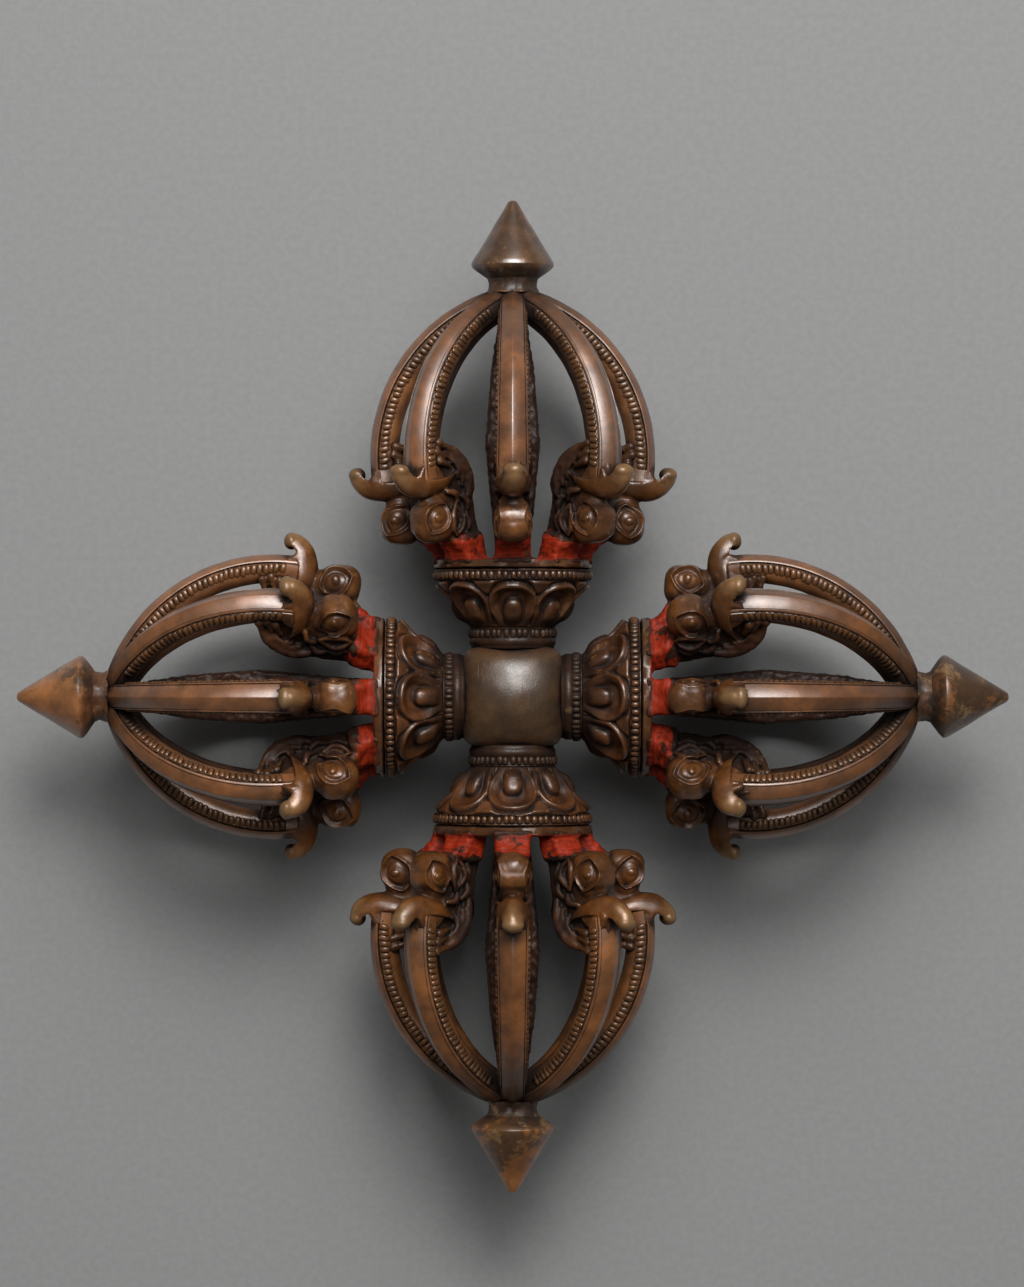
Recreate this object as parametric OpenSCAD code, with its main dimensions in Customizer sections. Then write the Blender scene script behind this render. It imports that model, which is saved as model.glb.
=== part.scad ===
// Crossed ritual sceptre: four caged heads on one hub, lying flat on its lowest noses.
// Each arm is stacked on a core rod: neck ring, lotus cup, beaded rim ring, prong seat,
// eight beast-headed prongs round the rod's own blade, and a spear tip that holds them in.
// An arm is drawn along +X with its first prong up, then turned into its place.

/* [Hub] */
// Width of the hub across the faces that carry the arms
hub_w = 16.6; // [16:0.1:20]
// Height of the hub between the crowns of its two free faces
hub_h = 16.4; // [14:0.1:20]
// Radius of the ball that rounds the hub's corners
hub_corner_r = 10.9; // [10.4:0.1:12]
// Radius of the dome on each free face
hub_dome_r = 15; // [12:0.5:30]
// Depth of the socket for a core rod
socket_depth = 5; // [3:0.1:5.2]

/* [Neck ring] */
// Length of the neck ring along the arm
neck_len = 2.8; // [2:0.1:5]
// Radius of the neck ring over its beads
neck_r = 7.2; // [6.5:0.1:8]
// Thickness of the plain edge at each end of the neck ring
neck_edge = 0.6; // [0.4:0.1:0.9]
// Drop from the top of the beads to the neck ring's plain edges
neck_edge_drop = 0.15; // [0.1:0.05:0.3]
// Number of beads round the neck ring
neck_beads = 36; // [24:1:48]

/* [Lotus cup] */
// Length of the cup along the arm
cup_len = 9.4; // [8:0.1:12]
// Radius of the cup at its foot
cup_foot_r = 7; // [6.5:0.1:8]
// Radius of the cup at its brim
cup_brim_r = 12.3; // [11.8:0.1:13]
// Length of the stepped brim that carries the rim ring
brim_len = 2; // [1.6:0.1:2.6]
// Radius of the step under the rim ring
brim_step_r = 11.4; // [10.8:0.1:11.6]
// Number of petals round the cup
petals = 8; // [6:1:10]
// Half width of a petal's arch
petal_half_w = 2.9; // [2:0.1:3]
// Radius of the roll that edges a petal
petal_roll_r = 0.6; // [0.4:0.05:0.8]
// Radius of the boss in a petal
petal_boss_r = 1.9; // [1.2:0.1:2]

/* [Rim ring] */
// Length of the rim ring along the arm
rim_len = 1.7; // [1.2:0.1:1.9]
// Height of the rim ring's beads above the brim
rim_bead_h = 0.6; // [0.4:0.05:1]
// Number of beads round the rim ring
rim_beads = 60; // [40:1:72]

/* [Prong seat] */
// Thickness of the seat plate
seat_t = 1.6; // [1:0.1:3]
// Radius of the seat plate
seat_r = 12.7; // [12.4:0.1:13.4]
// Thickness of the rounded lip at the plate's edge
seat_lip = 0.5; // [0.3:0.1:0.8]

/* [Core rod] */
// Radius of the round part of the core rod
rod_r = 3; // [2.5:0.1:3.5]
// Half width of the rod's blade at its widest
core_half_w = 4.3; // [3.2:0.1:5]
// Half width of the rod's blade at the seat
core_root_half_w = 2.9; // [2:0.1:3]
// Distance from the seat to the blade's widest point
core_belly_x = 18.5; // [12:0.5:24]
// Radius of the spigot that carries the tip
spigot_r = 2; // [1.6:0.1:2.2]
// Length of the spigot inside the tip
spigot_len = 5; // [3:0.1:7]
// Length of the bare spigot between the rod's blade and the tip
spigot_bare_len = 6; // [5.5:0.1:9]

/* [Tip] */
// Length of the tip's neck
tip_neck_len = 1.9; // [1:0.1:4]
// Radius of the tip's neck
tip_neck_r = 4; // [3.6:0.1:4.6]
// Length of the tip's lower bevel
tip_bevel_len = 2.3; // [1:0.1:4]
// Radius of the tip at its widest
tip_r = 6.65; // [5:0.05:8]
// Length of the cone
tip_cone_len = 10.3; // [8:0.1:14]
// Radius of the rounded point
tip_point_r = 0.45; // [0.2:0.05:0.8]

/* [Prongs] */
// Number of outer prongs on an arm
prongs = 8; // [8:1:8]
// Distance along the arm from the seat to the inside of the tip's neck
cage_len = 43.2; // [40:0.1:50]
// Distance from the arm's axis to the worn end of a nose
nose_reach = 26.5; // [25.5:0.1:28]
// Distance from the arm's axis to the outside of a blade where it leaves the mouth
blade_reach = 22.9; // [22:0.1:24]
// Distance from the arm's axis to the outside of a blade where it meets the tip
blade_end_reach = 3.7; // [3.4:0.1:4]
// Height of the ridge along a blade's back
blade_ridge = 0.75; // [0.3:0.05:1.2]
// Width of a blade's smooth back
blade_w = 4.7; // [4:0.1:5.2]
// Width of a blade over its beaded flanks
flank_w = 5.6; // [5.3:0.1:6.4]
// Depth of a blade
blade_d = 4.8; // [4:0.1:5.5]
// Depth from a blade's back to the lower edge of its beaded flanks
flank_d = 2.65; // [2.5:0.05:3.2]
// Width of a blade's inner edge
blade_inner_w = 2.4; // [1.5:0.1:3]

/* [Beast heads] */
// Length of the head from the seat to the mouth
head_len = 16.4; // [15.8:0.1:18]
// Width of the head
head_w = 6; // [5:0.1:6.2]
// Width of the root where it leaves the seat
root_w = 5.6; // [4.5:0.1:5.9]
// Length of the root before it swells into the head
root_len = 1.4; // [1:0.1:2]
// Thickness of the root past its tenon, on each side
root_land = 0.9; // [0.6:0.1:1.2]
// Distance from the arm's axis to the root's shoulder
shoulder_z = 13.6; // [13:0.1:14.2]
// Distance from the seat to the throat
throat_x = 3; // [2:0.1:4]
// Distance from the arm's axis to the throat
throat_z = 9.5; // [9:0.1:10]
// Distance from the seat to the start of the mane
mane_x = 11.2; // [10:0.1:12]
// Distance from the arm's axis to the start of the mane
mane_z = 10.9; // [10.5:0.1:11.4]
// Length of the mane's lower edge
mane_len = 3.5; // [3:0.1:4.5]
// Rise of the mane's lower edge
mane_rise = 1.2; // [0.8:0.1:1.6]
// Distance from the seat to the nape behind the skull
nape_x = 2.6; // [2.2:0.1:3]
// Distance from the arm's axis to the nape behind the skull
nape_z = 15.9; // [15:0.1:16.6]
// Radius of the skull's drum
skull_r = 3.4; // [3:0.05:3.8]
// Width of the skull over its cheeks
skull_w = 7; // [6.2:0.1:8]
// Distance from the seat to the skull's centre
skull_x = 5.7; // [5.2:0.1:6.5]
// Distance from the arm's axis to the skull's centre
skull_z = 18.1; // [17:0.1:19]
// Distance from the arm's axis to the hollow between brow and snout
brow_z = 21.1; // [20.6:0.1:21.8]
// Distance from the skull's centre forward to an eye
eye_forward = 0.5; // [0:0.1:1]
// Distance from the skull's centre out to an eye
eye_out = 0.3; // [0:0.1:0.8]
// Radius of the ring round an eye
eye_ring_r = 1.9; // [1.4:0.1:2.2]
// Radius of the roll that makes the ring round an eye
eye_roll_r = 0.45; // [0.3:0.05:0.6]
// Radius of an eye's pupil
pupil_r = 0.95; // [0.6:0.05:1.2]
// Distance from the seat to the front of the snout
snout_x = 10; // [9.6:0.1:10.6]
// Distance from the arm's axis to the front of the snout
snout_z = 23.8; // [23:0.1:24.4]
// Distance from the mouth back to the lip under the nose
lip_back = 1.6; // [1.2:0.1:2]
// Length of the gum past the mouth
gum_len = 1.2; // [0.8:0.1:1.8]
// Width of the gum round the blade
gum_w = 5; // [4.4:0.1:5.4]
// Distance from the arm's axis to the gum's lower edge
gum_z = 14.9; // [14:0.1:16]
// Drop from the blade's back to the gum's upper edge
gum_drop = 1; // [0.5:0.1:1.5]
// Distance from the mouth back to the middle of the nose's curl
curl_back = 3.4; // [3:0.1:3.8]
// Radius of the curl at the end of a nose
nose_curl_r = 1.75; // [1.4:0.05:2.1]
// Width of the curl at the end of a nose
nose_w = 3.8; // [3:0.1:5]
// Depth worn off the end of each nose
nose_wear = 0.3; // [0.2:0.05:0.6]

/* [Fits] */
// Gap round a soldered tenon, on each side
solder_gap = 0.05; // [0.02:0.01:0.1]
// Gap between a prong and its neighbours where they meet at the tip
mitre_gap = 0.1; // [0.06:0.01:0.2]
// Width of a prong's tenon across the arm
tenon_w = 3.4; // [2:0.1:4]
// Thickness of a prong's tenon along the radius
tenon_t = 2.6; // [1.5:0.1:3]
// Distance from the arm's axis to the middle of a tenon
tenon_z = 10; // [9.6:0.1:10.2]

/* [Hidden] */
$fn = 48;
bronze = "#5c4433";
dark_bronze = "#46342a";
worn_bronze = "#6e5640";
ARMS = ["east", "north", "west", "south"];

// Places along an arm, from the hub's centre outwards
neck_x = hub_w / 2;
cup_x = neck_x + neck_len;
brim_x = cup_x + cup_len - brim_len;
seat_x = cup_x + cup_len;
cage_x = seat_x + seat_t;
tip_x = cage_x + cage_len;
rod_start_x = hub_w / 2 - socket_depth;
bore_r = rod_r + solder_gap;
bead_overlap = 0.3;
reach_past = 1;

// A blade's back is one arc that leaves the mouth parallel to the arm and ends at the tip
blade_run = cage_len - head_len;
blade_drop = blade_reach - blade_end_reach;
blade_arc_r = (blade_run * blade_run + blade_drop * blade_drop) / (2 * blade_drop);
blade_sweep = asin(blade_run / blade_arc_r);
mouth_overlap_deg = 5;
prong_step = 360 / prongs;

// Places along a head, from the seat outwards
gum_x = head_len + gum_len;
lip_x = head_len - lip_back;
curl_x = head_len - curl_back;

// Every arm's lowest nose rests on the ground
lift = nose_reach;

// Turns what is drawn along +X into its place as arm i.
module on_arm(i) {
    translate([0, 0, lift]) rotate([0, 0, 90 * i]) children();
}

// Turns what is drawn upright along Z so that it lies along +X, starting at x.
module along_arm(x) {
    translate([x, 0, 0]) rotate([0, 90, 0]) children();
}

// Turns the first prong's place into that of prong k.
module on_prong(k) {
    rotate([-prong_step * (k - 1), 0, 0]) children();
}

// A solid w wide across the arm whose side view, x along the arm and y from its axis, is the child.
module side_slab(w) {
    rotate([90, 0, 0]) linear_extrude(height = w, center = true) children();
}

// A ring of upright beads round a bore, len long.
module bead_ring(over_r, inner_r, beads, len) {
    bead_r = PI * over_r / beads;
    pitch_r = over_r - bead_r;
    linear_extrude(height = len) difference() {
        union() {
            circle(r = pitch_r + bead_overlap);
            for (k = [0:beads - 1]) rotate(360 / beads * k) translate([pitch_r, 0]) circle(r = bead_r);
        }
        circle(r = inner_r);
    }
}

module hub() {
    dome_sink = hub_dome_r - hub_h / 2;
    color(worn_bronze) translate([0, 0, lift]) difference() {
        intersection() {
            cube([hub_w, hub_w, hub_h + reach_past], center = true);
            sphere(r = hub_corner_r);
            translate([0, 0, -dome_sink]) sphere(r = hub_dome_r);
            translate([0, 0, dome_sink]) sphere(r = hub_dome_r);
        }
        for (i = [0:3]) rotate([0, 0, 90 * i])
            along_arm(rod_start_x) cylinder(r = bore_r, h = socket_depth + reach_past);
    }
}

module neck_ring() {
    edge_r = neck_r - neck_edge_drop;
    color(dark_bronze) union() {
        along_arm(neck_x) difference() {
            union() {
                cylinder(r = edge_r, h = neck_edge);
                translate([0, 0, neck_len - neck_edge]) cylinder(r = edge_r, h = neck_edge);
            }
            translate([0, 0, -reach_past]) cylinder(r = bore_r, h = neck_len + 2 * reach_past);
        }
        along_arm(neck_x + neck_edge) bead_ring(neck_r, bore_r, neck_beads, neck_len - 2 * neck_edge);
    }
}

// One petal lies on the cup's flare: a rolled arch, round towards the brim, with a boss inside it.
module petal() {
    flare_len = cup_len - brim_len;
    flare_rise = cup_brim_r - cup_foot_r;
    flare_slope = atan(flare_rise / flare_len);
    arch_mid = 0.55;
    leg_len = 3.2;
    roll_sink = 0.25;
    boss_sink = 0.75;
    translate([cup_x + flare_len * arch_mid, 0, cup_foot_r + flare_rise * arch_mid])
    rotate([0, -flare_slope, 0]) {
        translate([0, 0, -roll_sink]) {
            rotate([0, 0, -90]) rotate_extrude(angle = 180) translate([petal_half_w - petal_roll_r, 0])
                circle(r = petal_roll_r);
            for (side = [-1, 1]) translate([-leg_len, side * (petal_half_w - petal_roll_r), 0])
                rotate([0, 90, 0]) cylinder(r = petal_roll_r, h = leg_len);
        }
        translate([-petal_roll_r, 0, -petal_boss_r * boss_sink]) sphere(r = petal_boss_r);
    }
}

module lotus_cup() {
    color(dark_bronze) difference() {
        union() {
            along_arm(cup_x) rotate_extrude() polygon([
                [0, 0], [cup_foot_r, 0], [cup_brim_r, cup_len - brim_len],
                [brim_step_r, cup_len - brim_len], [brim_step_r, cup_len], [0, cup_len]]);
            for (k = [0:petals - 1]) rotate([360 / petals * k, 0, 0]) petal();
        }
        along_arm(cup_x - reach_past) cylinder(r = bore_r, h = cup_len + 2 * reach_past);
        // The petals' legs stop at the foot
        along_arm(neck_x - reach_past) cylinder(r = seat_r, h = neck_len + reach_past);
    }
}

module rim_ring() {
    rim_x = brim_x + (brim_len - rim_len) / 2;
    color(bronze) along_arm(rim_x)
        bead_ring(cup_brim_r + rim_bead_h, brim_step_r + solder_gap, rim_beads, rim_len);
}

module prong_seat() {
    color(bronze) difference() {
        along_arm(seat_x) rotate_extrude() polygon([
            [bore_r, 0], [seat_r - seat_lip, 0], [seat_r, seat_lip],
            [seat_r, seat_t - seat_lip], [seat_r - seat_lip, seat_t], [bore_r, seat_t]]);
        for (k = [1:prongs]) on_prong(k)
            translate([seat_x + seat_t / 2, 0, tenon_z])
                cube([seat_t + reach_past, tenon_w + 2 * solder_gap, tenon_t + 2 * solder_gap],
                     center = true);
    }
}

// The rod's own blade seen from one side: narrow at the seat, widest at its belly, narrow at the tip.
module core_outline() {
    blade_end_x = tip_x - spigot_bare_len;
    polygon([
        [cage_x, -core_root_half_w], [cage_x + core_belly_x, -core_half_w], [blade_end_x, -spigot_r],
        [blade_end_x, spigot_r], [cage_x + core_belly_x, core_half_w], [cage_x, core_root_half_w]]);
}

module core_rod() {
    color(dark_bronze) union() {
        along_arm(rod_start_x) cylinder(r = rod_r, h = cage_x - rod_start_x);
        intersection() {
            side_slab(2 * core_half_w + reach_past) core_outline();
            rotate([90, 0, 0]) side_slab(2 * core_half_w + reach_past) core_outline();
        }
        along_arm(tip_x - spigot_bare_len - reach_past)
            cylinder(r = spigot_r, h = spigot_bare_len + reach_past + spigot_len);
    }
}

module tip() {
    cone_x = tip_neck_len + tip_bevel_len;
    tip_len = cone_x + tip_cone_len;
    cone_half_angle = atan((tip_r - tip_point_r) / tip_cone_len);
    point_centre = tip_len - tip_point_r;
    color(worn_bronze) along_arm(tip_x) difference() {
        rotate_extrude() union() {
            polygon([
                [0, 0], [tip_neck_r, 0], [tip_neck_r, tip_neck_len], [tip_r, cone_x],
                [tip_point_r * cos(cone_half_angle), point_centre + tip_point_r * sin(cone_half_angle)],
                [0, point_centre]]);
            intersection() {
                translate([0, point_centre]) circle(r = tip_point_r);
                translate([0, point_centre - reach_past]) square([tip_point_r, reach_past + tip_point_r]);
            }
        }
        translate([0, 0, -reach_past])
            cylinder(r = spigot_r + solder_gap, h = spigot_len + solder_gap + reach_past);
    }
}

// A blade: ridged back, beaded flanks, narrow inner edge, bent along the arc and mitred at the tip.
module blade() {
    flank_top = blade_arc_r - blade_ridge - (flank_w - blade_w) / 2;
    flank_bottom = blade_arc_r - flank_d;
    mitre_deg = prong_step / 2;
    difference() {
        intersection() {
            translate([cage_x + head_len, 0, blade_reach - blade_arc_r]) rotate([0, -90, -90])
                rotate([0, 0, -mouth_overlap_deg])
                rotate_extrude(angle = blade_sweep + 2 * mouth_overlap_deg) polygon([
                    [blade_arc_r, 0], [blade_arc_r - blade_ridge, blade_w / 2],
                    [flank_top, flank_w / 2], [flank_bottom, flank_w / 2],
                    [blade_arc_r - blade_d, blade_inner_w / 2], [blade_arc_r - blade_d, -blade_inner_w / 2],
                    [flank_bottom, -flank_w / 2], [flank_top, -flank_w / 2],
                    [blade_arc_r - blade_ridge, -blade_w / 2]]);
            // The wedge that belongs to one prong, set back by the mitre gap
            translate([cage_x, 0, 0]) rotate([90, 0, 90])
                linear_extrude(height = cage_len - solder_gap) polygon([
                    [0, mitre_gap / sin(mitre_deg)],
                    [nose_reach * tan(mitre_deg), nose_reach + mitre_gap / sin(mitre_deg)],
                    [-nose_reach * tan(mitre_deg), nose_reach + mitre_gap / sin(mitre_deg)]]);
        }
        along_arm(cage_x) cylinder(r = spigot_r + mitre_gap, h = cage_len + reach_past);
    }
}

// The head seen from the side: root, throat and mane below, then mouth, snout, brow and nape above.
module head_outline() {
    root_half_t = tenon_t / 2 + root_land;
    below = [
        [0, tenon_z - root_half_t], [throat_x, throat_z], [mane_x, mane_z],
        [mane_x + mane_len, mane_z + mane_rise], [gum_x, gum_z]];
    above = [
        [gum_x, blade_reach - gum_drop], [lip_x, blade_reach], [curl_x, nose_reach - nose_curl_r],
        [curl_x - nose_curl_r, nose_reach - nose_curl_r], [snout_x, snout_z], [skull_x + skull_r, brow_z],
        [skull_x, skull_z], [nape_x, nape_z], [root_len, shoulder_z], [0, tenon_z + root_half_t]];
    translate([cage_x, 0]) polygon(concat(below, above));
}

// The head seen from above: narrow at the root, widest along the skull, narrow again round the blade.
module head_plan() {
    half = [
        [0, root_w / 2], [root_len, root_w / 2], [skull_x - skull_r / 2, head_w / 2],
        [curl_x - nose_curl_r, head_w / 2], [curl_x, gum_w / 2], [gum_x + reach_past, gum_w / 2]];
    polygon(concat(half, [for (i = [len(half) - 1:-1:0]) [half[i][0], -half[i][1]]]));
}

// The skull's drum lies across the prong, with a ringed eye on each end.
module skull() {
    edge_round = 0.8;
    translate([cage_x + skull_x, 0, skull_z]) rotate([90, 0, 0]) {
        rotate_extrude() polygon([
            [0, -skull_w / 2], [skull_r - edge_round, -skull_w / 2], [skull_r, -skull_w / 2 + edge_round],
            [skull_r, skull_w / 2 - edge_round], [skull_r - edge_round, skull_w / 2], [0, skull_w / 2]]);
        for (side = [-1, 1]) translate([eye_forward, eye_out, side * skull_w / 2]) {
            rotate_extrude() translate([eye_ring_r, 0]) circle(r = eye_roll_r);
            translate([0, 0, -side * pupil_r / 2]) sphere(r = pupil_r);
        }
    }
}

module nose() {
    curl_z = nose_reach + nose_wear - nose_curl_r;
    intersection() {
        translate([cage_x + curl_x, 0, curl_z]) rotate([90, 0, 0])
            cylinder(r = nose_curl_r, h = nose_w, center = true);
        // The end of the nose is worn flat
        translate([cage_x + curl_x, 0, nose_reach - nose_curl_r * 2])
            cube([nose_curl_r * 4, nose_w * 2, nose_curl_r * 4], center = true);
    }
}

module prong() {
    color(bronze) union() {
        intersection() {
            side_slab(head_w) head_outline();
            translate([cage_x, 0, 0]) linear_extrude(height = nose_reach) head_plan();
        }
        skull();
        nose();
        blade();
        translate([cage_x - seat_t / 2 + solder_gap / 2, 0, tenon_z])
            cube([seat_t - solder_gap, tenon_w, tenon_t], center = true);
    }
}

hub();
for (i = [0:3]) {
    on_arm(i) neck_ring();
    on_arm(i) lotus_cup();
    on_arm(i) rim_ring();
    on_arm(i) prong_seat();
    on_arm(i) core_rod();
    on_arm(i) tip();
    for (k = [1:prongs])
        on_arm(i) on_prong(k) prong();
}
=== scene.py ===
import math
import random

import bmesh
import bpy
from bpy.props import FloatProperty, FloatVectorProperty, IntProperty, PointerProperty
from mathutils import Matrix, Vector, noise


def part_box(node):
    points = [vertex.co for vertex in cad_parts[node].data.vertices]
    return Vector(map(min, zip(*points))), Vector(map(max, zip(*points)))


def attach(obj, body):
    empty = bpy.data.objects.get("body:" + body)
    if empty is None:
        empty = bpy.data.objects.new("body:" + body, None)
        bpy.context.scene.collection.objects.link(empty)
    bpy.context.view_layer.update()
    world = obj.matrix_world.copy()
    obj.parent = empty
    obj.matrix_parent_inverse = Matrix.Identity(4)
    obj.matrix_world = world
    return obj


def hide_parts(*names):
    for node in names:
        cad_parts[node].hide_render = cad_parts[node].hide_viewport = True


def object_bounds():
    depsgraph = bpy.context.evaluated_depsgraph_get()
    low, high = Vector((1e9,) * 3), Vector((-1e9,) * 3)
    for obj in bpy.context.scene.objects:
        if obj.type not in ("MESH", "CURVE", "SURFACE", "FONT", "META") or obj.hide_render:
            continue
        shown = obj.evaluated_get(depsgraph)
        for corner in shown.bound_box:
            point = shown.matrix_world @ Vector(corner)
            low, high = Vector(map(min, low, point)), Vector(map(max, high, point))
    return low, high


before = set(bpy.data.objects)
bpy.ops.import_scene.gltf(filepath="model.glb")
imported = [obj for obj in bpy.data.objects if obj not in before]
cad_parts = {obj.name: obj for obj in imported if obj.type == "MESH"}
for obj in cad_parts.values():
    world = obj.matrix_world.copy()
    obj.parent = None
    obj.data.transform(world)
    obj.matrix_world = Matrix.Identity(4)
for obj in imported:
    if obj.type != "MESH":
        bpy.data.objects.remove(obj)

bl_info = {
    "name": "Crossed Sceptre",
    "version": (1, 0, 0),
    "blender": (4, 5, 0),
    "location": "View3D > Sidebar > Sceptre",
    "description": "Dresses the frame of a crossed ritual sceptre with cast, carved and beaded bronze",
    "category": "Object",
}

# The frame's own box, kept before anything is hidden, and its sizes in millimetres
CAD_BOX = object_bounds()
MM = 1000.0
ARMS = ("east", "north", "west", "south")
PRONGS = 8
LIFT = (CAD_BOX[0][2] + CAD_BOX[1][2]) / 2 * MM
NOSE_REACH = (CAD_BOX[1][2] - CAD_BOX[0][2]) / 2 * MM
TIP_END = CAD_BOX[1][0] * MM


def station(node, corner):
    """How far along the east arm a node starts (corner 0) or ends (corner 1), in millimetres."""
    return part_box(node)[corner][0] * MM


def reach(node):
    """How far a node of the east arm reaches sideways from the arm's axis, in millimetres."""
    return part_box(node)[1][1] * MM


HUB_HALF = station("hub", 1)
HUB_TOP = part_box("hub")[1][2] * MM - LIFT
NECK_START, NECK_END = station("neck_ring_east", 0), station("neck_ring_east", 1)
NECK_R = reach("neck_ring_east")
CUP_END = station("lotus_cup_east", 1)
RIM_START, RIM_END = station("rim_ring_east", 0), station("rim_ring_east", 1)
RIM_R = reach("rim_ring_east")
SEAT_END = station("prong_seat_east", 1)
SEAT_R = reach("prong_seat_east")
TIP_START = station("tip_east", 0)
TIP_R = reach("tip_east")
CORE_HALF = reach("core_rod_east")

# Sizes that belong to a shape rather than to a user's choice, in millimetres
HUB_DOME_R = 13.5
HUB_RISE = 0.5
HUB_ROLL_OFF = 1.2
HUB_INSET = 0.3
NECK_PLAIN = 1.0
SEAT_BORE = 3.1
TIP_NECK_R = 3.8
TIP_SHOULDER = TIP_START + 4.0
NOSE_WEAR_FROM = 23.2
NOSE_WEAR_FULL = 26.8
EYE_HALF_LONG = 2.75
EYE_HALF_WIDE = 2.1
BLADE_LOWEST = 2.15
RIB_BELOW_BACK = 2.3
RIB_SUNK = 0.14
RIB_THICK = 0.55
RIB_TALL = 0.78

# Share of a blade's width lost towards the tip, and how far round the outline of an eye its carving goes
BLADE_TAPER = 0.24
EYE_SPAN = 1.7

# Along a blade's arc, in degrees: its start before and end after the arc, and where its ribs start and stop
BLADE_LEAD = 9
BLADE_OVERRUN = 5
RIBS_FROM = -3.5
RIBS_SHORT_BY = 7

# A prong has three finishes: the first on its head, and these on its blade and its ribs
BLADE_FINISH = 1
RIB_FINISH = 2


class SceptreSizes(bpy.types.PropertyGroup):
    """Sizes of the carving, in millimetres, that a user may change."""

    blade_reach: FloatProperty(
        name="Blade reach", description="From the arm's axis to a blade's back at the mouth, mm",
        default=22.9, min=22.0, max=23.5)
    blade_end_reach: FloatProperty(
        name="Blade end reach", description="From the arm's axis to a blade's back at the tip, mm",
        default=3.7, min=3.4, max=4.0)
    head_length: FloatProperty(
        name="Head length", description="Along the arm from the seat to the mouth, mm",
        default=16.4, min=15.8, max=18.0)
    blade_width: FloatProperty(
        name="Blade width", description="Width of a blade's smooth back, mm",
        default=4.85, min=4.0, max=5.2)
    blade_depth: FloatProperty(
        name="Blade depth", description="Depth of a blade towards the arm's axis, mm",
        default=4.6, min=4.0, max=5.5)
    ribs: IntProperty(
        name="Ribs", description="Ribs along each flank of a blade", default=33, min=12, max=40)
    neck_beads: IntProperty(
        name="Neck beads", description="Beads round the neck ring", default=40, min=24, max=48)
    rim_beads: IntProperty(
        name="Rim beads", description="Beads round the rim ring", default=70, min=40, max=80)
    carving_grain: FloatProperty(
        name="Carving grain", description="Finest detail kept in the cast heads and cups, mm",
        default=0.2, min=0.15, max=0.6)


def tone(name, description, value):
    """A colour that a user may change."""
    return FloatVectorProperty(
        name=name, description=description, subtype="COLOR", default=value, min=0.0, max=1.0)


class SceptreFinishes(bpy.types.PropertyGroup):
    """Colours of the metal and the pigment."""

    blade: tone("Blades", "Warm brown of the handled blades", (0.185, 0.07, 0.022))
    handled: tone("Handled", "Brown of the polished heads", (0.125, 0.0455, 0.0115))
    petal: tone("Petals", "Brown of the polished cups and rings", (0.1, 0.0355, 0.0108))
    patina: tone("Patina", "Dull dark brown left where no hand rubs", (0.049, 0.0162, 0.0066))
    copper: tone("Copper", "Coppery patches in the patina", (0.14, 0.045, 0.0155))
    olive: tone("Olive", "Cooler brown of the hub and of stains on the tips", (0.06, 0.0305, 0.0125))
    tip: tone("Tips", "Golden brown of the spear tips", (0.23, 0.09, 0.029))
    # This sooty tone also colours the painted shade in hollows, creases and the darkened bands
    soot_and_shade: tone("Soot", "Dirt and painted shade in hollows and creases", (0.01, 0.006, 0.0045))
    worn: tone("Worn", "Metal worn bright on edges and noses", (0.42, 0.25, 0.11))
    pigment: tone("Pigment", "Red pigment at the prong roots", (0.27, 0.021, 0.005))


class SceptreStage(bpy.types.PropertyGroup):
    """Floor and camera."""

    floor_colour: tone("Floor", "Colour of the floor", (0.255, 0.256, 0.258))
    camera_height: FloatProperty(
        name="Camera height", description="Camera above the arms' axes", default=0.85, unit="LENGTH")
    lens: FloatProperty(
        name="Lens", description="Focal length in millimetres", default=147.8, unit="CAMERA")


def sizes():
    """The user's sizes."""
    return bpy.context.scene.sceptre_sizes


def finishes():
    """The user's colours."""
    return bpy.context.scene.sceptre_finishes


def stage_settings():
    """The user's floor and camera."""
    return bpy.context.scene.sceptre_stage


# Mesh helpers, all in millimetres, with the arm along +X and the first prong up


def on_arm(arm):
    """Turns and lifts what is drawn along +X into an arm's place, and makes metres of millimetres."""
    turn = Matrix.Rotation(math.radians(90 * arm), 4, "Z")
    return Matrix.Scale(1 / MM, 4) @ Matrix.Translation((0, 0, LIFT)) @ turn


def on_prong(k):
    """Turns the first prong's place into that of prong k, counted from 1."""
    return Matrix.Rotation(math.radians(-360 / PRONGS * (k - 1)), 4, "X")


def ball(bm, centre, radii, power=2.0):
    """Adds a smooth lump with its own half sizes along x, y and z; a power over 2 makes it squarish."""
    name = f"lump_{power}"
    if name not in bpy.data.meshes:
        unit = bmesh.new()
        bmesh.ops.create_icosphere(unit, subdivisions=3, radius=1)
        for vert in unit.verts:
            vert.co /= sum(abs(c) ** power for c in vert.co) ** (1 / power)
        small_mesh(name, unit)
    stamp(bm, bpy.data.meshes[name],
          Matrix.Translation(centre) @ Matrix.Diagonal((radii[0], radii[1], radii[2], 1)))


def smooth_path(points, steps):
    """Points along a smooth curve through the given ones; each may carry a fourth value, a radius."""
    count = len(points[0])
    path = []
    for i in range(len(points) - 1):
        before = points[max(i - 1, 0)]
        start = points[i]
        end = points[i + 1]
        after = points[min(i + 2, len(points) - 1)]
        for step in range(steps):
            t = step / steps
            path.append(tuple(
                0.5 * (2 * start[c] + (end[c] - before[c]) * t
                       + (2 * before[c] - 5 * start[c] + 4 * end[c] - after[c]) * t * t
                       + (3 * start[c] - before[c] - 3 * end[c] + after[c]) * t * t * t)
                for c in range(count)))
    path.append(tuple(points[-1]))
    return path


def roll(bm, points, steps=6):
    """Adds a round roll along a smooth curve; each point is x, y, z and the roll's radius."""
    for x, y, z, r in smooth_path(points, steps):
        ball(bm, (x, y, z), (r, r, r))


def both_sides(points):
    """The same points on the one side of a prong and mirrored to the other."""
    return [points, [(p[0], -p[1]) + tuple(p[2:]) for p in points]]


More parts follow.
